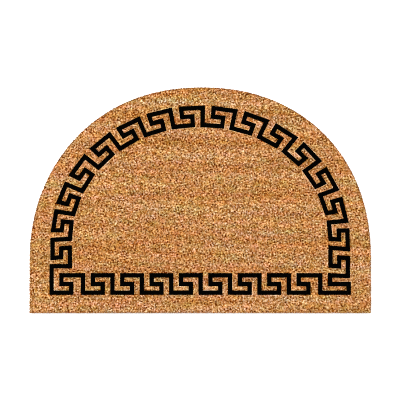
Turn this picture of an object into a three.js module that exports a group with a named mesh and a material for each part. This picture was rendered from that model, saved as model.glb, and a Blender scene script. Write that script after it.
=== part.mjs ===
// Half round coir doormat
// One flat D-shaped slab of upright coconut fibre on its own backing, cut clean all round.
// Millimetres, +Z up. The straight edge faces -Y and the arch +Y. The origin is the middle of
// the outline's box, on the underside.
import * as THREE from "three";
import { mergeVertices } from "three/addons/utils/BufferGeometryUtils.js";

// Driving dimensions
const matWidth = 750; // across the straight edge
const matDepth = 496; // from the straight edge to the top of the arch
const matThickness = 15; // backing and pile together
const straightSide = 114; // each side runs straight up before the arch begins
const archPower = 2.148; // 2 would be half an ellipse, and more is fuller at the shoulders
const archLean = 3.8; // the crown stands this far to the +X side, as the mat was cut
const leanPower = 4; // how soon up the arch the whole lean is reached
const easeRadius = 1.5; // the sheared pile rounds over along the cut edge

// How finely the curves are stepped
const archSteps = 120;
const easeSteps = 3;

const coirColour = 0xc2884f;
const coirRoughness = 0.95;

const halfWidth = matWidth / 2;
const archRise = matDepth - straightSide;
const archFoot = straightSide - matDepth / 2;

// How far the arch's middle line is moved sideways at a height between 0, its foot, and 1, its crown
function leanAt(height) {
  return archLean * (1 - Math.pow(1 - height * height, leanPower));
}

// The point of the arch at an angle from its right foot, over its crown, to its left foot
function archPoint(angle) {
  const across = Math.cos(angle);
  const height = Math.pow(Math.sin(angle), 2 / archPower);
  const reach = Math.sign(across) * Math.pow(Math.abs(across), 2 / archPower);
  return new THREE.Vector2(reach * halfWidth + leanAt(height), archFoot + height * archRise);
}

// The mat's outline, counterclockwise from the left end of the straight edge
function matOutline() {
  const points = [
    new THREE.Vector2(-halfWidth, -matDepth / 2),
    new THREE.Vector2(halfWidth, -matDepth / 2),
    new THREE.Vector2(halfWidth, archFoot),
  ];
  for (let step = 1; step < archSteps; step += 1) {
    points.push(archPoint((Math.PI * step) / archSteps));
  }
  points.push(new THREE.Vector2(-halfWidth, archFoot));
  return points;
}

// The outline drawn in by a distance, each corner along the bisector of its two edges
function drawnIn(outline, distance) {
  const count = outline.length;
  return outline.map((point, index) => {
    const before = outline[(index + count - 1) % count];
    const after = outline[(index + 1) % count];
    const comingIn = point.clone().sub(before).normalize();
    const goingOut = after.clone().sub(point).normalize();
    const bisector = new THREE.Vector2(-comingIn.y - goingOut.y, comingIn.x + goingOut.x).normalize();
    const spread = bisector.x * -comingIn.y + bisector.y * comingIn.x;
    return point.clone().addScaledVector(bisector, distance / spread);
  });
}

// Rings from the underside's edge up the cut side and round the eased top edge
function slabRings(outline) {
  const rings = [{ points: outline, z: 0 }];
  for (let step = 0; step <= easeSteps; step += 1) {
    const turn = (Math.PI / 2) * (step / easeSteps);
    rings.push({
      points: drawnIn(outline, easeRadius * (1 - Math.cos(turn))),
      z: matThickness - easeRadius * (1 - Math.sin(turn)),
    });
  }
  return rings;
}

// A closed solid from the rings, with a flat underside and a flat top
function slabGeometry(outline) {
  const rings = slabRings(outline);
  const count = outline.length;
  const positions = rings.flatMap((ring) => ring.points.flatMap((point) => [point.x, point.y, ring.z]));
  const indices = [];
  for (let ring = 0; ring + 1 < rings.length; ring += 1) {
    for (let index = 0; index < count; index += 1) {
      const next = (index + 1) % count;
      const low = ring * count;
      const high = low + count;
      indices.push(low + index, low + next, high + next);
      indices.push(low + index, high + next, high + index);
    }
  }
  const top = (rings.length - 1) * count;
  for (const [a, b, c] of THREE.ShapeUtils.triangulateShape(outline, [])) {
    indices.push(c, b, a);
    indices.push(top + a, top + b, top + c);
  }
  const geometry = new THREE.BufferGeometry();
  geometry.setAttribute("position", new THREE.Float32BufferAttribute(positions, 3));
  geometry.setIndex(indices);
  return mergeVertices(geometry);
}

// The coir mat itself, pile and backing in one piece
function coirMat() {
  const material = new THREE.MeshStandardMaterial({
    color: coirColour,
    roughness: coirRoughness,
    metalness: 0,
  });
  const mesh = new THREE.Mesh(slabGeometry(matOutline()), material);
  mesh.name = "coir_mat";
  return mesh;
}

const doormat = new THREE.Group();
doormat.add(coirMat());

export default doormat;
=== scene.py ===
# A half round coir doormat with a printed Greek key border, laid flat and seen from straight above.
# Metres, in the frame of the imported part: the straight edge faces -Y, the arch +Y, and +Z is up.
import math
from dataclasses import dataclass, fields

import bpy
import numpy as np
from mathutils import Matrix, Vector
from mathutils.geometry import delaunay_2d_cdt


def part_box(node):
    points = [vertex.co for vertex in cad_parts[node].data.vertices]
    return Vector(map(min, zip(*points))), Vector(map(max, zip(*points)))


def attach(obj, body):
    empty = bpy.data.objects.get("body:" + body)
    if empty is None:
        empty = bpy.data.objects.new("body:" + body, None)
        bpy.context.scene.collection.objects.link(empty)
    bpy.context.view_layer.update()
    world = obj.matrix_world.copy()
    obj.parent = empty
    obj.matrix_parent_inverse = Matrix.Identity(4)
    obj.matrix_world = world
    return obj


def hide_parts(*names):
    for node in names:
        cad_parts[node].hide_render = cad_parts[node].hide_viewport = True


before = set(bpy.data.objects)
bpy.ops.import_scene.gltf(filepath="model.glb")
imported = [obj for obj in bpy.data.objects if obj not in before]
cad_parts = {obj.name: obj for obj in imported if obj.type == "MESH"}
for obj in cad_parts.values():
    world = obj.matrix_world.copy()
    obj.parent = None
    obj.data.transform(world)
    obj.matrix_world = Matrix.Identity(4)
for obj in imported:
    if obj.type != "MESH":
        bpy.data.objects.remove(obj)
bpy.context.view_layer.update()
mat_low, mat_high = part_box("coir_mat")

# The outline, as in the part
MAT_WIDTH = mat_high.x - mat_low.x
MAT_DEPTH = mat_high.y - mat_low.y
MAT_THICKNESS = mat_high.z - mat_low.z
STRAIGHT_SIDE = 0.114
ARCH_POWER = 2.148
ARCH_LEAN = 0.0038
LEAN_POWER = 4
ARCH_STEPS = 240
SIDE_STEPS = 36
FRONT_STEPS = 240

# The key border: how wide its line is, and how far apart the outer and the inner level lie
STROKE = 0.010
KEY_DEPTH = 0.038

# Each bay is charted on thirds: the line runs on over two of them and comes back over one
KEY_RUN = 2 / 3
KEY_RETURN = 1 / 3

# The border along the front, and where its line ends on the left side
FRONT_OUTER = -0.203
FRONT_INNER = FRONT_OUTER + KEY_DEPTH
FRONT_CORNER = 0.326
FRONT_BAY = 0.0645
FRONT_BAYS = 7
FRONT_END_BAY = 0.069
LEFT_FOOT = -0.145

# The border up the right side, over the arch and down the left side
BAND_SIDE_MARGIN = 0.070
BAND_CROWN_MARGIN = 0.064
BAND_FOOT = -0.093
BAND_POWER = 2.05
BAND_SLANT = 0.003
SIDE_BAY = 0.059
RIGHT_BAYS = 2
ARCH_BAYS = 11
LEFT_BAYS = 3
BAND_STEPS = 1500

# The backing and the dense lower pile
BACKING_THICKNESS = 0.0022
BACKING_INSET = 0.0004
BACKING_EASE = 0.0003
CORE_TOP = 0.0106
CORE_RELIEF = 0.0008
CORE_ROUGH = 0.0006
RELIEF_LIMIT = 2
CORE_INSET = 0.0012
CORE_PITCH = 0.0034
CORE_JITTER = 0.2
CORE_WALL_GAP = 0.4
CORE_INK_GAP = 0.3
MERGE_DISTANCE = 1e-7

# The mottle of light and dark clumps: waves whose directions gather a little and whose lengths vary
MOTTLE_WAVES = 420
MOTTLE_POWER = 3.4
MOTTLE_LENGTHS = (0.0046, 0.0400)
MOTTLE_TURN = math.radians(-80)
MOTTLE_BIAS = 0.22
MOTTLE_SHADE = 0.25
MOTTLE_DROP = 0.0004
MOTTLE_CREST = 1.5
MOTTLE_DROP_LIMIT = 3.5

# The faint rows along X in that mottle
ROW_WAVES = 70
ROW_LENGTHS = (0.010, 0.060)
ROW_SLANT = math.radians(7)
ROW_SHARE = 0.10

# The pile: tufts of fibres that fan out from one root and end some way below the mat's top
TUFT_PITCH = 0.0044
TUFT_JITTER = 0.32
TUFT_FIBRES = 11
TUFT_ROOT = 0.0011
TUFT_TOP = 0.0021
TUFT_LEAN = (0.0012, 0.0008)
FAN_TURN = 0.35
FAN_REACH = (0.8, 1.2)
FIBRE_LEAN = 0.0008
TIP_INSET = 0.0003
ROOT_LEVEL = 0.0082
FIBRE_WIDTH = 0.00048
FIBRE_WIDTH_SPREAD = 0.22
FIBRE_WIDTH_LIMITS = (0.5, 1.7)
TUFT_DROP = 0.0005
TUFT_DROP_LIMIT = 3
FIBRE_DROP = 0.0005
DEEPEST_DROP = 0.0040
EDGE_DROP = 0.0010
EDGE_EASE = 0.0030
CUT_SLANT = 0.45
TUFT_SHADE = 0.05
FIBRE_SHADE = 0.14
# Painted shade: the light value at a fibre's root, and how much it falls for each metre that its tip
# ends below the mat's top
ROOT_LIGHT = 0.75
DROP_SHADE = 50.0
PILE_PIECES = 5

# The fibres that stand along the cut edge, in rows, and the loose ones that lie on top
RIM_PITCH = 0.00058
RIM_JITTER = 0.8
RIM_ROWS = (0.0005, 0.0010)
RIM_ROOT = 0.0016
RIM_LEAN = 0.0007
# Painted shade: the light value at the roots of the rim fibres
RIM_ROOT_LIGHT = 0.55
RIM_SHADE_SHARE = 0.8
LOOSE_FIBRES = 450
LOOSE_PITCH = 0.02
LOOSE_JITTER = 0.5
LOOSE_EDGE_GAP = 0.03
LOOSE_STEPS = 5
LOOSE_LENGTH = (0.007, 0.024)
LOOSE_RADIUS = 0.00017
LOOSE_TAPER = 1.6
LOOSE_LEVEL = 0.0149
LOOSE_LEVEL_SPREAD = 0.0004
LOOSE_SAG = 0.004
LOOSE_BEND = 1.1
LOOSE_SHADE = (0.62, 0.20)

# The floor, the light and the camera, which places the mat as in the photograph of 400 by 400 pixels
FLOOR_SIZE = 40.0
FLOOR_TONE = (0.86, 0.86, 0.86)
FLOOR_GRAIN_SCALE = 30.0
FLOOR_ROUGHNESS = (0.86, 0.94)
FLOOR_GLOSS = 0.1
WORLD_LIGHT = 1.45
LAMP_ENERGY = 430.0
LAMP_SIZE = 1.6
LAMP_PLACE = (-1.5, 1.9, 5.6)
CAMERA_LENS = 85.0
SENSOR_WIDTH = 36.0
PHOTO_SIZE = 400
MAT_IN_PHOTO = 342.4
MAT_CENTRE_IN_PHOTO = (200.2, 200.15)
PIXEL_FILTER = 1.0

# The seeds of the random draws, and the turn from one fibre of a tuft to the next
SEED = 20417
TUFT_SEED = SEED + 1
RIM_SEED = SEED + 2
LOOSE_SEED = SEED + 3
SHARE_SEED = SEED + 4
MOTTLE_SEED = SEED + 5
GOLDEN_ANGLE = 2.399963

# The sockets of a colour mix, by their place in the node
MIX_SHARE = 0
MIX_FIRST = 6
MIX_SECOND = 7
MIX_RESULT = 2

# The material slots of the core
COIR_SLOT = 0
PRINTED_SLOT = 1
BACKING_SLOT = 2

# A fibre's corners on its own cell of the map, and the triangles that close it
FIBRE_CELL = ((0.15, 0.12), (0.85, 0.12), (0.15, 0.88), (0.85, 0.88))
FIBRE_FACES = ((0, 2, 1), (0, 1, 3), (0, 3, 2), (1, 2, 3))


def rows_of(*columns):
    """An array whose rows run across these columns."""
    return np.stack(columns, axis=-1)


def superellipse(angle, half_width, foot, crown, power, lean):
    """Points of an arch from its right foot over the crown to its left foot, whose crown leans to +X."""
    across = np.cos(angle)
    height = np.sin(angle) ** (2 / power)
    reach = np.sign(across) * np.abs(across) ** (2 / power)
    sideways = lean * (1 - (1 - height**2) ** LEAN_POWER)
    return rows_of(reach * half_width + sideways, foot + height * (crown - foot))


def mat_outline():
    """The mat's edge, counterclockwise from the left end of the straight edge."""
    half_width = MAT_WIDTH / 2
    front = -MAT_DEPTH / 2
    foot = front + STRAIGHT_SIDE
    along_front = np.linspace(-half_width, half_width, FRONT_STEPS, endpoint=False)
    up_side = np.linspace(front, foot, SIDE_STEPS, endpoint=False)
    angle = np.linspace(0, math.pi, ARCH_STEPS + 1)
    return np.concatenate(
        [
            rows_of(along_front, np.full(FRONT_STEPS, front)),
            rows_of(np.full(SIDE_STEPS, half_width), up_side),
            superellipse(angle, half_width, foot, MAT_DEPTH / 2, ARCH_POWER, ARCH_LEAN),
            rows_of(np.full(SIDE_STEPS - 1, -half_width), up_side[:0:-1]),
        ]
    )


def offset_loop(loop, distance):
    """The loop moved to its left by a distance, with mitred corners."""
    before = loop - np.roll(loop, 1, axis=0)
    after = np.roll(loop, -1, axis=0) - loop
    before /= np.linalg.norm(before, axis=1, keepdims=True)
    after /= np.linalg.norm(after, axis=1, keepdims=True)
    left_before = rows_of(-before[:, 1], before[:, 0])
    left_after = rows_of(-after[:, 1], after[:, 0])
    share = 1 + (left_before * left_after).sum(axis=1, keepdims=True)
    return loop + (left_before + left_after) / share * distance


def inside(points, loop):
    """Which points lie inside a closed loop."""
    x, y = points[:, 0], points[:, 1]
    result = np.zeros(len(points), bool)
    for start, end in zip(loop, np.roll(loop, -1, axis=0), strict=True):
        if start[1] == end[1]:
            continue
        crosses = (start[1] > y) != (end[1] > y)
        at = start[0] + (y - start[1]) / (end[1] - start[1]) * (end[0] - start[0])
        result ^= crosses & (x < at)
    return result


def distance_to(points, loop):
    """How far each point is from the nearest side of a closed loop."""
    best = np.full(len(points), np.inf)
    for start, end in zip(loop, np.roll(loop, -1, axis=0), strict=True):
        side = end - start
        share = np.clip((points - start) @ side / (side @ side), 0, 1)
        gap = points - start - share[:, None] * side
        best = np.minimum(best, (gap**2).sum(axis=1))
    return np.sqrt(best)


def depth_within(points, loop, limit):
    """How far inside a loop each point is, up to a limit that every deeper point gets."""
    depth = np.full(len(points), limit)
    near = ~inside(points, offset_loop(loop, limit))
    depth[near] = np.minimum(distance_to(points[near], loop), limit)
    return depth


class Band:
    """The middle line of the border up the right side, over the arch and down the left side."""

    def __init__(self):
        half_width = MAT_WIDTH / 2 - BAND_SIDE_MARGIN
        crown = MAT_DEPTH / 2 - BAND_CROWN_MARGIN
        angle = np.linspace(0, math.pi, BAND_STEPS)
        arch = superellipse(angle, half_width, BAND_FOOT, crown, BAND_POWER, 0)
        climb = np.linspace(FRONT_INNER, BAND_FOOT, SIDE_STEPS, endpoint=False)
        right = rows_of(np.full(SIDE_STEPS, half_width), climb)
        left = rows_of(np.full(SIDE_STEPS, -half_width), climb[::-1])
        self.line = np.concatenate([right, arch, left])
        steps = np.linalg.norm(np.diff(self.line, axis=0), axis=1)
        self.along = np.concatenate([[0], np.cumsum(steps)])
        heading = np.gradient(self.line, axis=0)
        self.heading = heading / np.linalg.norm(heading, axis=1, keepdims=True)

    def point(self, along, level):
        """A point at a distance along the band, at level 0 on its outer line and 1 on its inner line."""
        x, y = (np.interp(along, self.along, self.line[:, i]) for i in (0, 1))
        ahead_x, ahead_y = (np.interp(along, self.along, self.heading[:, i]) for i in (0, 1))
        depth = (level - 0.5) * KEY_DEPTH
        slant = (level - 0.5) * BAND_SLANT * ahead_y
        return (x - ahead_y * depth + ahead_x * slant, y + ahead_x * depth + ahead_y * slant)

    def bays(self):
        """Its bays from the right foot: one length up the sides, another over the arch."""
        over_arch = self.along[-1] - (LEFT_FOOT - FRONT_INNER) - (RIGHT_BAYS + LEFT_BAYS) * SIDE_BAY
        return [SIDE_BAY] * RIGHT_BAYS + [over_arch / ARCH_BAYS] * ARCH_BAYS + [SIDE_BAY] * LEFT_BAYS


def key_line():
    """The middle of the key's line, one closed loop, from its lower left corner."""
    middle = (FRONT_OUTER + FRONT_INNER) / 2
    bays = [FRONT_END_BAY] + [FRONT_BAY] * FRONT_BAYS + [FRONT_END_BAY]
    line = []
    stem = -FRONT_CORNER
    for bay in bays:
        run = stem + KEY_RUN * FRONT_BAY
        back = stem + KEY_RETURN * FRONT_BAY
        line += [(stem, FRONT_OUTER), (run, FRONT_OUTER), (run, middle)]
        line += [(back, middle), (back, FRONT_INNER), (stem + bay, FRONT_INNER)]
        stem += bay
    back = stem + KEY_RETURN * FRONT_BAY
    line += [(stem, FRONT_OUTER), (FRONT_CORNER, FRONT_OUTER), (FRONT_CORNER, middle)]
    line += [(back, middle), (back, FRONT_INNER)]
    band = Band()
    along = 0.0
    for bay in band.bays():
        run = along + KEY_RUN * bay
        back = along + KEY_RETURN * bay
        line += [band.point(along, 0), band.point(run, 0), band.point(run, 0.5)]
        line += [band.point(back, 0.5), band.point(back, 1), band.point(along + bay, 1)]
        along += bay
    line[-1] = (line[-1][0], LEFT_FOOT)
    line.append((-FRONT_CORNER, LEFT_FOOT))
    return np.array(line)


def jittered_grid(pitch, jitter, rng):
    """Points of a triangular grid over the mat's box, each moved a little."""
    rise = pitch * math.sqrt(3) / 2
    columns = np.arange(-MAT_WIDTH / 2 - pitch, MAT_WIDTH / 2 + pitch, pitch)
    levels = np.arange(-MAT_DEPTH / 2 - pitch, MAT_DEPTH / 2 + pitch, rise)
    x, y = np.meshgrid(columns, levels)
    x += (np.arange(len(levels)) % 2)[:, None] * pitch / 2
    points = rows_of(x.ravel(), y.ravel())
    return points + rng.uniform(-jitter, jitter, points.shape) * pitch


outline = mat_outline()
key = key_line()
key_edges = (offset_loop(key, STROKE / 2), offset_loop(key, -STROKE / 2))


def inked(points):
    """Which points lie on the printed line."""
    return inside(points, key_edges[0]) ^ inside(points, key_edges[1])


def ink_depth(points):
    """How far inside the printed line each point is, below 0 outside it."""
    depth = np.minimum(*(distance_to(points, edge) for edge in key_edges))
    return np.where(inked(points), depth, -depth)


def waves(points, turns, lengths, rng):
    """A sum of random waves of these directions and lengths, 0 on average with a spread of 1."""
    total = np.zeros(len(points))
    for turn, length in zip(turns, lengths, strict=True):
        across = 2 * math.pi / length * np.array([math.cos(turn), math.sin(turn)])
        total += np.cos(points @ across + rng.uniform(0, 2 * math.pi))
    return total * math.sqrt(2 / len(turns))


def mottle(points):
    """How light the pile is at each point, 0 on average with a spread of 1: clumps and long rows."""
    rng = np.random.default_rng(MOTTLE_SEED)
    turns = rng.uniform(0, 2 * math.pi, MOTTLE_WAVES)
    turns -= MOTTLE_BIAS / 2 * np.sin(2 * (turns - MOTTLE_TURN))
    highest, lowest = (length**-MOTTLE_POWER for length in MOTTLE_LENGTHS)
    lengths = rng.uniform(lowest, highest, MOTTLE_WAVES) ** (-1 / MOTTLE_POWER)
    clumps = waves(points, turns, lengths, rng)
    turns = math.pi / 2 + rng.normal(0, ROW_SLANT, ROW_WAVES)
    lengths = rng.uniform(*ROW_LENGTHS, ROW_WAVES)
    rows = waves(points, turns, lengths, rng)
    return (clumps + ROW_SHARE * rows) / math.hypot(1, ROW_SHARE)


def mesh_object(name, points, triangles, materials, slots=0):
    """A mesh object from arrays of points and triangles, with the material slot of each triangle."""
    mesh = bpy.data.meshes.new(name)
    mesh.vertices.add(len(points))
    mesh.vertices.foreach_set("co", np.asarray(points, np.float32).ravel())
    mesh.loops.add(len(triangles) * 3)
    mesh.loops.foreach_set("vertex_index", np.asarray(triangles, np.int32).ravel())
    mesh.polygons.add(len(triangles))
    mesh.polygons.foreach_set("loop_start", np.arange(len(triangles), dtype=np.int32) * 3)
    for material in materials:
        mesh.materials.append(material)
    slots = np.broadcast_to(np.asarray(slots, np.int32), len(triangles))
    mesh.polygons.foreach_set("material_index", np.ascontiguousarray(slots))
    mesh.update(calc_edges=True)
    piece = bpy.data.objects.new(name, mesh)
    bpy.context.scene.collection.objects.link(piece)
    return piece


def give_values(piece, name, values):
    """Stores one number for each vertex under a name that materials can read."""
    stored = piece.data.attributes.new(name, "FLOAT", "POINT")
    stored.data.foreach_set("value", np.asarray(values, np.float32))


def give_map(piece, triangles, places):
    """Gives the mesh a map with one place for each vertex."""
    layer = piece.data.uv_layers.new(name="OFBake", do_init=False)
    layer.uv.foreach_set("vector", places[triangles.ravel()].astype(np.float32).ravel())


class Nodes:
    """A material's node tree, with short calls for the nodes that these materials share."""

    def __init__(self, name):
        self.material = bpy.data.materials.new(name)
        self.material.use_nodes = True
        self.tree = self.material.node_tree
        self.shader = self.tree.nodes["Principled BSDF"]
        self.place = self.tree.nodes.new("ShaderNodeTexCoord").outputs["Object"]

    def link(self, source, target):
        self.tree.links.new(source, target)

    def attribute(self, name):
        node = self.tree.nodes.new("ShaderNodeAttribute")
        node.attribute_name = name
        return node.outputs["Fac"]

    def noise(self, scale, detail=2.0, stretch=(1, 1, 1), turn=0.0, moved=0.0, output="Fac"):
        """Noise whose grains are stretched along the axes, turned about Z and moved."""
        mapping = self.tree.nodes.new("ShaderNodeMapping")
        mapping.vector_type = "TEXTURE"
        mapping.inputs["Scale"].default_value = stretch
        mapping.inputs["Rotation"].default_value = (0, 0, turn)
        mapping.inputs["Location"].default_value = (moved, moved, moved)
        self.link(self.place, mapping.inputs["Vector"])
        node = self.tree.nodes.new("ShaderNodeTexNoise")
        node.inputs["Scale"].default_value = scale
        node.inputs["Detail"].default_value = detail
        self.link(mapping.outputs["Vector"], node.inputs["Vector"])
        return node.outputs[output]

    def math(self, kind, first, second):
        node = self.tree.nodes.new("ShaderNodeMath")
        node.operation = kind
        for value, socket in ((first, node.inputs[0]), (second, node.inputs[1])):
            if isinstance(value, bpy.types.NodeSocket):
                self.link(value, socket)
            else:
                socket.default_value = value
        return node.outputs["Value"]

    def ranged(self, value, low, high, to_low, to_high):
        node = self.tree.nodes.new("ShaderNodeMapRange")
        self.link(value, node.inputs["Value"])
        numbers = {"From Min": low, "From Max": high, "To Min": to_low, "To Max": to_high}
        for name, number in numbers.items():
            node.inputs[name].default_value = number
        return node.outputs["Result"]

    def height_in_plan(self):
        """How far a point lies from the middle towards the crown."""
        node = self.tree.nodes.new("ShaderNodeSeparateXYZ")
        self.link(self.place, node.inputs["Vector"])
        return node.outputs["Y"]

    def over_noise(self, noise, low, high):
        """A value that goes from low to high over the range that most of a noise lies in."""
        return self.ranged(noise, *NOISE_RANGE, low, high)

    def ramp(self, value, stops):
        node = self.tree.nodes.new("ShaderNodeValToRGB")
        elements = node.color_ramp.elements
        while len(elements) < len(stops):
            elements.new(1.0)
        for element, (position, colour) in zip(elements, stops, strict=True):
            element.position = position
            element.color = (*colour, 1)
        self.link(value, node.inputs["Fac"])
        return node.outputs["Color"]

    def blended(self, kind, share, first, second):
        node = self.tree.nodes.new("ShaderNodeMix")
        node.data_type = "RGBA"
        node.blend_type = kind
        given = {MIX_SHARE: share, MIX_FIRST: first, MIX_SECOND: second}
        for number, value in given.items():
            socket = node.inputs[number]
            if isinstance(value, bpy.types.NodeSocket):
                self.link(value, socket)
            elif isinstance(value, tuple):
                socket.default_value = (*value, 1)
            else:
                socket.default_value = value
        return node.outputs[MIX_RESULT]

    def scaled(self, colour, brightness):
        return self.blended("MULTIPLY", 1.0, colour, brightness)

    def spread(self, colour, amounts):
        """A factor for each channel, 1 on average, from noise in that channel and an amount."""
        node = self.tree.nodes.new("ShaderNodeVectorMath")
        node.operation = "MULTIPLY_ADD"
        self.link(colour, node.inputs[0])
        node.inputs[1].default_value = amounts
        node.inputs[2].default_value = [1 - amount / 2 for amount in amounts]
        return node.outputs["Vector"]

    def bump(self, height, distance, strength):
        node = self.tree.nodes.new("ShaderNodeBump")
        node.inputs["Distance"].default_value = distance
        node.inputs["Strength"].default_value = strength
        self.link(height, node.inputs["Height"])
        self.link(node.outputs["Normal"], self.shader.inputs["Normal"])

    def finish(self, colour, roughness, gloss):
        self.link(colour, self.shader.inputs["Base Color"])
        self.link(roughness, self.shader.inputs["Roughness"])
        self.shader.inputs["Specular IOR Level"].default_value = gloss
        return self.material


# Coir's tones by shade, the painted shade that darkens them where their light value is low, and the
# tones of the print and the backing
COIR_STOPS = (
    (0.00, (0.084, 0.006, 0.000)),
    (0.15, (0.195, 0.028, 0.000)),
    (0.35, (0.380, 0.138, 0.013)),
    (0.50, (0.503, 0.241, 0.072)),
    (0.65, (0.609, 0.334, 0.134)),
    (0.82, (0.734, 0.461, 0.234)),
    (1.00, (0.852, 0.604, 0.360)),
)
# Painted shade: how much of each channel is kept at each light value, so that the coir gets darker and
# redder towards fibre roots, at lower tips and between the core's crossing fibres
SHADOW_STOPS = (
    (0.00, (0.00, 0.00, 0.00)),
    (0.35, (0.37, 0.24, 0.12)),
    (0.65, (0.66, 0.58, 0.49)),
    (1.00, (1.00, 1.00, 1.00)),
)
INK_STOPS = (
    (0.0, (0.0006, 0.0005, 0.0004)),
    (1.0, (0.0022, 0.0018, 0.0014)),
)
PRINTED_CORE_STOPS = (
    (0.0, (0.0003, 0.0003, 0.0002)),
    (1.0, (0.0013, 0.0011, 0.0009)),
)
BACKING_STOPS = (
    (0.3, (0.075, 0.042, 0.024)),
    (0.7, (0.115, 0.068, 0.040)),
)

# The tints of coir: small grains, long rows, and a slow drift between redder and more golden
NOISE_RANGE = (0.3, 0.7)
GRAIN_SCALE = 75.0
GRAIN_STRETCH = (1.2, 1.0, 4.0)
ROW_TINT_SCALE = 90.0
ROW_TINT_STRETCH = (12.0, 1.0, 12.0)
ROW_TINT_SHARE = 0.45
GRAIN_SPREAD = (0.50, 0.20, 1.10)
REDDER = (0.965, 0.88, 0.77)
GOLDENER = (1.03, 1.12, 1.23)
DRIFT_SCALE = 17.0
DRIFT_STRETCH = (6.0, 1.0, 6.0)
DRIFT_TINT = 0.45

# The soft bars: how far apart they are, where a golden one lies, and how much their tint swings
BAR_PITCH = 0.057
BAR_AT = 0.040
BAR_LEVEL = 0.50
BAR_SWING = (0.06, 0.22)
BAR_WOBBLE = 0.006
BAR_WOBBLE_SCALE = 9.0

# The print's edge and the finish of single fibres
INK_BLUR = 0.0002
INK_WOBBLE = 0.0003
INK_WOBBLE_SCALE = 700.0
COIR_GLOSS = 0.02
FIBRE_GRAIN_SCALE = 1400.0
FIBRE_BRIGHTNESS = (0.88, 1.10)
FIBRE_BUMP = (0.0001, 0.5)
FIBRE_ROUGHNESS = (0.62, 0.86)

# The crossing fibres on the core, and the finish of the core and the backing
# Painted shade on the core: its light value from the gaps between the crossing fibres to the fibres on
# top
CORE_LIGHT = (0.60, 1.00)
CORE_BUMP = (0.0008, 1.0)
CORE_ROUGHNESS = (0.95, 0.80)
PRINTED_CORE_BUMP = (0.0006, 0.8)
PRINTED_CORE_GLOSS = 0.0
BACKING_GRAIN_SCALE = 650.0
BACKING_BUMP = (0.0003, 0.5)
BACKING_ROUGHNESS = (0.5, 0.7)
BACKING_GLOSS = 0.3
STREAK_SCALE = 1300.0
STREAK_STRETCH = (9.0, 1.0, 9.0)
STREAK_TURNS = (0.3, 1.35, 2.4)
STREAK_LEVELS = (0.47, 0.66)
STREAK_SHADE = (-0.06, 0.14)


def bars(nodes):
    """The soft bars across the mat, below the level in a redder one and above it in a golden one."""
    wobble = nodes.over_noise(nodes.noise(BAR_WOBBLE_SCALE, 1.0), -BAR_WOBBLE, BAR_WOBBLE)
    height = nodes.math("ADD", nodes.height_in_plan(), wobble)
    turn = nodes.math("MULTIPLY", nodes.math("SUBTRACT", height, BAR_AT), 2 * math.pi / BAR_PITCH)
    swing = nodes.ranged(height, -MAT_DEPTH / 2, MAT_DEPTH / 2, *BAR_SWING)
    wave = nodes.math("MULTIPLY", nodes.math("COSINE", turn, 0.0), swing)
    return nodes.math("ADD", wave, BAR_LEVEL)


def coir_colour(nodes, shade, light):
    """Coir from a shade and a light value between 0 and 1, where a low light value is painted shade,
    tinted in grains, rows, bars and a slow drift.
    """
    # Painted shade: the tone is darkened where the light value is low
    base = nodes.scaled(nodes.ramp(shade, COIR_STOPS), nodes.ramp(light, SHADOW_STOPS))
    grains = nodes.noise(GRAIN_SCALE, 0.0, GRAIN_STRETCH, output="Color")
    rows = nodes.noise(ROW_TINT_SCALE, 0.0, ROW_TINT_STRETCH, output="Color")
    grains = nodes.blended("MIX", ROW_TINT_SHARE, grains, rows)
    drift = nodes.noise(DRIFT_SCALE, 1.0, DRIFT_STRETCH)
    drift = nodes.over_noise(drift, -DRIFT_TINT, DRIFT_TINT)
    tint = nodes.blended("MIX", nodes.math("ADD", bars(nodes), drift), REDDER, GOLDENER)
    return nodes.scaled(nodes.scaled(base, tint), nodes.spread(grains, GRAIN_SPREAD))


def coir_on_fibre(nodes):
    # The light attribute holds painted shade: darker towards the root and at tips that end lower
    return coir_colour(nodes, nodes.attribute("shade"), nodes.attribute("light"))


def ink_on_fibre(nodes):
    return nodes.ramp(nodes.attribute("shade"), INK_STOPS)


def border_on_fibre(nodes):
    """Ink where a fibre lies inside the printed line, coir beside it."""
    wobble = nodes.over_noise(nodes.noise(INK_WOBBLE_SCALE), -INK_WOBBLE, INK_WOBBLE)
    depth = nodes.math("ADD", nodes.attribute("ink"), wobble)
    share = nodes.ranged(depth, -INK_BLUR, INK_BLUR, 0.0, 1.0)
    return nodes.blended("MIX", share, coir_on_fibre(nodes), ink_on_fibre(nodes))


def fibre_material(name, paint):
    """The finish of single fibres, in the colour that a function paints them."""
    nodes = Nodes(name)
    fine = nodes.noise(FIBRE_GRAIN_SCALE)
    colour = nodes.scaled(paint(nodes), nodes.over_noise(fine, *FIBRE_BRIGHTNESS))
    nodes.bump(fine, *FIBRE_BUMP)
    return nodes.finish(colour, nodes.over_noise(fine, *FIBRE_ROUGHNESS), COIR_GLOSS)


def crossing_fibres(nodes):
    """Fine fibres that cross each other: the brightest of noises stretched in several directions."""
    result = None
    for turn in STREAK_TURNS:
        layer = nodes.noise(STREAK_SCALE, 1.0, STREAK_STRETCH, turn, turn)
        result = layer if result is None else nodes.math("MAXIMUM", result, layer)
    return nodes.ranged(result, *STREAK_LEVELS, 0.0, 1.0)


def coir_core():
    """The dense lower pile where it is plain."""
    nodes = Nodes("coir_core")
    streaks = crossing_fibres(nodes)
    # Painted shade: the core is darker in the gaps between its crossing fibres
    light = nodes.ranged(streaks, 0.0, 1.0, *CORE_LIGHT)
    lighter = nodes.ranged(streaks, 0.0, 1.0, *STREAK_SHADE)
    shade = nodes.math("ADD", nodes.attribute("shade"), lighter)
    colour = coir_colour(nodes, shade, light)
    nodes.bump(streaks, *CORE_BUMP)
    return nodes.finish(colour, nodes.ranged(streaks, 0.0, 1.0, *CORE_ROUGHNESS), COIR_GLOSS)


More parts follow.
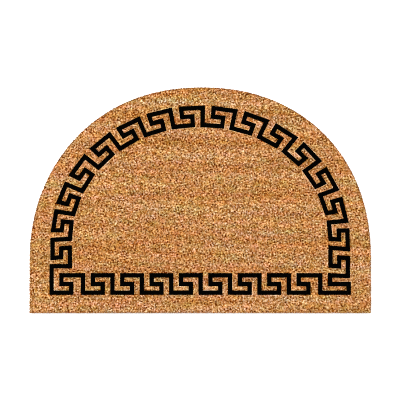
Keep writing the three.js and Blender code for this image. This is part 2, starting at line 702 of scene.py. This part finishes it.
def printed_core():
    """The dense lower pile where the key runs."""
    nodes = Nodes("printed_core")
    streaks = crossing_fibres(nodes)
    colour = nodes.ramp(streaks, PRINTED_CORE_STOPS)
    nodes.bump(streaks, *PRINTED_CORE_BUMP)
    return nodes.finish(colour, nodes.ranged(streaks, 0.0, 1.0, *CORE_ROUGHNESS), PRINTED_CORE_GLOSS)


def backing_vinyl():
    nodes = Nodes("backing_vinyl")
    pebble = nodes.noise(BACKING_GRAIN_SCALE)
    colour = nodes.ramp(pebble, BACKING_STOPS)
    nodes.bump(pebble, *BACKING_BUMP)
    return nodes.finish(colour, nodes.over_noise(pebble, *BACKING_ROUGHNESS), BACKING_GLOSS)


def core_plan(rng):
    """Points and triangles of the slab's top seen from above, with the print's edges among them."""
    wall = offset_loop(outline, CORE_INSET)
    grid = jittered_grid(CORE_PITCH, CORE_JITTER, rng)
    grid = grid[inside(grid, offset_loop(outline, CORE_INSET + CORE_WALL_GAP * CORE_PITCH))]
    for edge in key_edges:
        grid = grid[distance_to(grid, edge) > CORE_INK_GAP * CORE_PITCH]
    loops = [wall, *key_edges]
    sides = []
    first = 0
    for loop in loops:
        count = len(loop)
        sides += [(first + i, first + (i + 1) % count) for i in range(count)]
        first += count
    flat = [Vector(p) for p in np.concatenate([*loops, grid])]
    made = delaunay_2d_cdt(flat, sides, [list(range(len(wall)))], 1, MERGE_DISTANCE)
    return np.array([tuple(p) for p in made[0]]), np.array(list(made[2]), np.int32)


def mat_core():
    """The backing and the dense lower pile as one closed slab, printed where the key runs."""
    rng = np.random.default_rng(SEED)
    plane, top = core_plan(rng)
    ring = np.arange(len(outline))
    around = np.roll(ring, -1)
    clumps = mottle(plane)
    level = CORE_TOP + CORE_RELIEF * clumps.clip(-RELIEF_LIMIT, RELIEF_LIMIT)
    level += rng.uniform(-CORE_ROUGH, CORE_ROUGH, len(plane))
    level[ring] = CORE_TOP - CORE_RELIEF
    points = [rows_of(plane[:, 0], plane[:, 1], level)]
    triangles = [top]
    slots = [np.where(inked(plane[top].mean(axis=1)), PRINTED_SLOT, COIR_SLOT)]
    lower_rings = (
        (CORE_INSET, BACKING_THICKNESS, COIR_SLOT),
        (BACKING_INSET, BACKING_THICKNESS, BACKING_SLOT),
        (BACKING_INSET, BACKING_EASE, BACKING_SLOT),
        (BACKING_INSET + BACKING_EASE, 0.0, BACKING_SLOT),
    )
    above = ring
    below = len(plane) + ring
    for inset, height, slot in lower_rings:
        loop = offset_loop(outline, inset)
        points.append(rows_of(loop[:, 0], loop[:, 1], np.full(len(loop), height)))
        triangles.append(rows_of(below, below[around], above[around]))
        triangles.append(rows_of(below, above[around], above))
        slots.append(np.full(2 * len(ring), slot))
        above = below
        below = below + len(ring)
    flat = [Vector(p) for p in loop]
    base = delaunay_2d_cdt(flat, [], [list(range(len(loop)))], 1, MERGE_DISTANCE)
    triangles.append(above[np.array(list(base[2]), np.int32)[:, ::-1]])
    slots.append(np.full(len(triangles[-1]), BACKING_SLOT))
    materials = (coir_core(), printed_core(), backing_vinyl())
    points = np.concatenate(points)
    slots = np.concatenate(slots)
    core = mesh_object("mat_core", points, np.concatenate(triangles), materials, slots)
    shade = np.full(len(points), 0.5)
    shade[: len(plane)] += MOTTLE_SHADE * clumps
    give_values(core, "shade", shade.clip(0, 1))
    return core


@dataclass
class Fibres:
    """Straight fibres: both ends, half widths, shades, and their light values at root and tip, which
    paint shade onto their colour.
    """

    roots: np.ndarray
    tips: np.ndarray
    width: np.ndarray
    shade: np.ndarray
    light: np.ndarray

    def only(self, which):
        return Fibres(*(getattr(self, field.name)[which] for field in fields(self)))


def standing_fibres(rng, root, tip, drop, shade, root_level, root_light):
    """Fibres from where they root and end, how far each ends below the mat's top, and their shades."""
    count = len(root)
    return Fibres(
        roots=rows_of(root[:, 0], root[:, 1], np.full(count, root_level)),
        tips=rows_of(tip[:, 0], tip[:, 1], MAT_THICKNESS - drop),
        width=FIBRE_WIDTH * rng.normal(1, FIBRE_WIDTH_SPREAD, count).clip(*FIBRE_WIDTH_LIMITS),
        shade=shade.clip(0, 1),
        # Painted shade: the colour darkens to root_light at the root, and at the tip by how far it ends
        # below the mat's top
        light=rows_of(np.full(count, root_light), 1 - DROP_SHADE * drop.clip(0, DEEPEST_DROP)),
    )


def tufts():
    """All the pile's fibres, but for the rows along the cut edge."""
    rng = np.random.default_rng(TUFT_SEED)
    centre = jittered_grid(TUFT_PITCH, TUFT_JITTER, rng)
    centre = centre[inside(centre, offset_loop(outline, TUFT_ROOT))]
    count = len(centre)
    lean = rng.normal(0, TUFT_LEAN, (count, 2))
    turn = rng.uniform(0, 2 * math.pi, count)
    tuft_shade = rng.normal(0, TUFT_SHADE, count)
    tuft_drop = TUFT_DROP * rng.exponential(1.0, count).clip(0, TUFT_DROP_LIMIT)
    each = np.arange(TUFT_FIBRES)
    angle = turn[:, None] + each * GOLDEN_ANGLE + rng.normal(0, FAN_TURN, (count, TUFT_FIBRES))
    reach = np.sqrt((each + 0.5) / TUFT_FIBRES) * rng.uniform(*FAN_REACH, angle.shape)
    fan = rows_of(reach * np.cos(angle), reach * np.sin(angle))
    tip = centre[:, None] + lean[:, None] + TUFT_TOP * fan + rng.normal(0, FIBRE_LEAN, fan.shape)
    root = centre[:, None] + TUFT_ROOT * fan
    tip = tip.reshape(-1, 2)
    root = root.reshape(-1, 2)
    tuft = np.repeat(np.arange(count), TUFT_FIBRES)
    kept = inside(tip, offset_loop(outline, TIP_INSET))
    tip, root, tuft = tip[kept], root[kept], tuft[kept]
    edge = depth_within(tip, outline, EDGE_EASE)
    clumps = mottle(tip)
    drop = tuft_drop[tuft] + FIBRE_DROP * np.abs(rng.normal(0, 1, len(tip)))
    drop += MOTTLE_DROP * (MOTTLE_CREST - clumps).clip(0, MOTTLE_DROP_LIMIT)
    drop += EDGE_DROP * (1 - edge / EDGE_EASE) ** 2
    shade = 0.5 + MOTTLE_SHADE * clumps + tuft_shade[tuft] + rng.normal(0, FIBRE_SHADE, len(tip))
    return standing_fibres(rng, root, tip, drop, shade, ROOT_LEVEL, ROOT_LIGHT)


def rim_fibres():
    """Rows of upright fibres along the cut edge, from the backing to the top."""
    rng = np.random.default_rng(RIM_SEED)
    rows = []
    for inset in RIM_ROWS:
        loop = offset_loop(outline, inset)
        closed = np.concatenate([loop, loop[:1]])
        along = np.concatenate([[0], np.cumsum(np.linalg.norm(np.diff(closed, axis=0), axis=1))])
        count = int(along[-1] / RIM_PITCH)
        at = (np.arange(count) + rng.uniform(0, RIM_JITTER, count)) * RIM_PITCH
        rows.append(rows_of(*(np.interp(at, along, closed[:, i]) for i in (0, 1))))
    root = np.concatenate(rows)
    tip = root + rng.normal(0, RIM_LEAN, root.shape)
    kept = inside(tip, outline)
    root, tip = root[kept], tip[kept]
    count = len(root)
    drop = EDGE_DROP + FIBRE_DROP * np.abs(rng.normal(0, 1, count))
    shade = 0.5 + rng.normal(0, math.hypot(TUFT_SHADE, FIBRE_SHADE) * RIM_SHADE_SHARE, count)
    return standing_fibres(rng, root, tip, drop, shade, RIM_ROOT, RIM_ROOT_LIGHT)


def fibre_piece(name, fibres, material):
    """Fibres as closed slivers, with a short edge at the root and another across it at the cut tip."""
    count = len(fibres.roots)
    rng = np.random.default_rng(SEED + count)
    axis = fibres.tips - fibres.roots
    axis /= np.linalg.norm(axis, axis=1, keepdims=True)
    turn = rng.uniform(0, 2 * math.pi, count)
    across = rows_of(np.cos(turn), np.sin(turn), np.zeros(count))
    across -= (across * axis).sum(axis=1, keepdims=True) * axis
    across /= np.linalg.norm(across, axis=1, keepdims=True)
    half = fibres.width[:, None]
    root_edge = half * np.cross(axis, across)
    tip_edge = half * (across + rng.uniform(-CUT_SLANT, CUT_SLANT, count)[:, None] * axis)
    roots, tips = fibres.roots, fibres.tips
    corners = (roots - root_edge, roots + root_edge, tips - tip_edge, tips + tip_edge)
    points = np.stack(corners, axis=1).reshape(-1, 3)
    first_corner = np.arange(count)[:, None, None] * len(corners)
    triangles = (first_corner + np.array(FIBRE_FACES)).reshape(-1, 3)
    piece = mesh_object(name, points, triangles, (material,))
    give_values(piece, "shade", np.repeat(fibres.shade, len(corners)))
    # Painted shade: each fibre's light value at root and tip, blended along it
    give_values(piece, "light", np.repeat(fibres.light, 2, axis=1).ravel())
    side = math.ceil(math.sqrt(count))
    cell = rows_of(np.arange(count) % side, np.arange(count) // side)
    give_map(piece, triangles, ((cell[:, None] + np.array(FIBRE_CELL)) / side).reshape(-1, 2))
    return piece


def loose_fibres(material):
    """Thin curved fibres of three sides that lie loose on the pile, clear of the print and the edge."""
    rng = np.random.default_rng(LOOSE_SEED)
    start = jittered_grid(LOOSE_PITCH, LOOSE_JITTER, rng)
    start = start[inside(start, offset_loop(outline, LOOSE_EDGE_GAP))]
    start = start[rng.permutation(len(start))[:LOOSE_FIBRES]]
    heading = rng.uniform(0, 2 * math.pi, len(start))
    bend = rng.normal(0, LOOSE_BEND, len(start))
    length = rng.uniform(*LOOSE_LENGTH, len(start))
    share = np.linspace(-0.5, 0.5, LOOSE_STEPS + 1)
    angle = heading[:, None] + bend[:, None] * share
    step = rows_of(np.cos(angle), np.sin(angle)) * (length / LOOSE_STEPS)[:, None, None]
    path = start[:, None] + np.cumsum(step, axis=1)
    clear = ~inked(path.reshape(-1, 2)).reshape(angle.shape).any(axis=1)
    path, angle = path[clear], angle[clear]
    count = len(path)
    level = LOOSE_LEVEL + LOOSE_LEVEL_SPREAD * rng.uniform(-1, 1, (count, 1)) - LOOSE_SAG * share**2
    middle = np.concatenate([path, level[..., None]], axis=2)
    side = rows_of(-np.sin(angle), np.cos(angle), np.zeros_like(angle))
    turn = np.arange(3) * 2 * math.pi / 3
    around = side[:, :, None] * np.cos(turn)[:, None] + np.array([0, 0, 1]) * np.sin(turn)[:, None]
    thin = LOOSE_RADIUS * (1 - LOOSE_TAPER * share**2)
    points = middle[:, :, None] + thin[:, None, None] * around
    faces = [(2, 1, 0)]
    for ring in range(LOOSE_STEPS):
        for corner in range(3):
            low = 3 * ring + corner
            low_next = 3 * ring + (corner + 1) % 3
            faces += [(low, low_next, low_next + 3), (low, low_next + 3, low + 3)]
    end = 3 * LOOSE_STEPS
    faces.append((end, end + 1, end + 2))
    each = 3 * (LOOSE_STEPS + 1)
    triangles = (np.arange(count)[:, None, None] * each + np.array(faces)).reshape(-1, 3)
    piece = mesh_object("loose_fibres", points.reshape(-1, 3), triangles, (material,))
    give_values(piece, "shade", np.repeat(rng.normal(*LOOSE_SHADE, count).clip(0, 1), each))
    give_values(piece, "light", np.ones(count * each))
    return piece


def pile(material):
    """The plain fibres as several pieces that each cover the mat, then the printed and rim ones."""
    fibres = tufts()
    root_inked = inked(fibres.roots[:, :2])
    tip_inked = inked(fibres.tips[:, :2])
    rng = np.random.default_rng(SHARE_SEED)
    share = rng.integers(0, PILE_PIECES, len(tip_inked))
    pieces = []
    for number in range(PILE_PIECES):
        plain = fibres.only(~root_inked & ~tip_inked & (share == number))
        pieces.append(fibre_piece(f"pile_{number + 1}", plain, material))
    printed = fibre_material("printed_fibre", ink_on_fibre)
    half_printed = fibre_material("half_printed_fibre", border_on_fibre)
    pieces.append(fibre_piece("printed_pile", fibres.only(root_inked & tip_inked), printed))
    border = fibre_piece("border_pile", fibres.only(root_inked != tip_inked), half_printed)
    corners = np.array([tuple(vertex.co) for vertex in border.data.vertices])
    give_values(border, "ink", ink_depth(corners[:, :2]))
    return [*pieces, border, fibre_piece("rim_pile", rim_fibres(), material)]


def make_floor():
    half = FLOOR_SIZE / 2
    corners = np.array([(-half, -half, 0), (half, -half, 0), (half, half, 0), (-half, half, 0)])
    nodes = Nodes("floor_paint")
    grain = nodes.noise(FLOOR_GRAIN_SCALE)
    nodes.link(nodes.over_noise(grain, *FLOOR_ROUGHNESS), nodes.shader.inputs["Roughness"])
    nodes.shader.inputs["Base Color"].default_value = (*FLOOR_TONE, 1)
    nodes.shader.inputs["Specular IOR Level"].default_value = FLOOR_GLOSS
    floor = mesh_object("floor", corners, np.array([(0, 1, 2), (0, 2, 3)]), (nodes.material,))
    return floor


def make_mat():
    """The whole mat: the slab, which stands for the part's solid, and the fibres on it."""
    core = mat_core()
    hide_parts("coir_mat")
    material = fibre_material("coir_fibre", coir_on_fibre)
    fibre_pieces = [*pile(material), loose_fibres(material)]
    for piece in [core, *fibre_pieces]:
        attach(piece, "root")
    make_floor()


def make_camera():
    """Looks straight down, with the mat's top as large as in the photo and at the same place."""
    data = bpy.data.cameras.new("camera")
    data.lens = CAMERA_LENS
    data.sensor_width = SENSOR_WIDTH
    scale = MAT_WIDTH / MAT_IN_PHOTO
    distance = scale * PHOTO_SIZE * CAMERA_LENS / SENSOR_WIDTH
    camera = bpy.data.objects.new("camera", data)
    right = (MAT_CENTRE_IN_PHOTO[0] - PHOTO_SIZE / 2) * scale
    down = (MAT_CENTRE_IN_PHOTO[1] - PHOTO_SIZE / 2) * scale
    camera.location = (-right, down, MAT_THICKNESS + distance)
    bpy.context.scene.collection.objects.link(camera)
    bpy.context.scene.camera = camera


def make_light():
    """A bright even room and one soft lamp above the mat's upper left."""
    world = bpy.data.worlds.new("studio")
    world.use_nodes = True
    background = world.node_tree.nodes["Background"]
    background.inputs["Color"].default_value = (1, 1, 1, 1)
    background.inputs["Strength"].default_value = WORLD_LIGHT
    bpy.context.scene.world = world
    data = bpy.data.lights.new("lamp", "AREA")
    data.shape = "DISK"
    data.size = LAMP_SIZE
    data.energy = LAMP_ENERGY
    lamp = bpy.data.objects.new("lamp", data)
    lamp.location = LAMP_PLACE
    lamp.rotation_euler = (-Vector(LAMP_PLACE)).to_track_quat("-Z", "Y").to_euler()
    bpy.context.scene.collection.objects.link(lamp)
    bpy.context.scene.view_settings.view_transform = "Standard"


make_camera()
make_mat()
make_light()
bpy.context.scene.cycles.use_denoising = False
bpy.context.scene.cycles.filter_width = PIXEL_FILTER
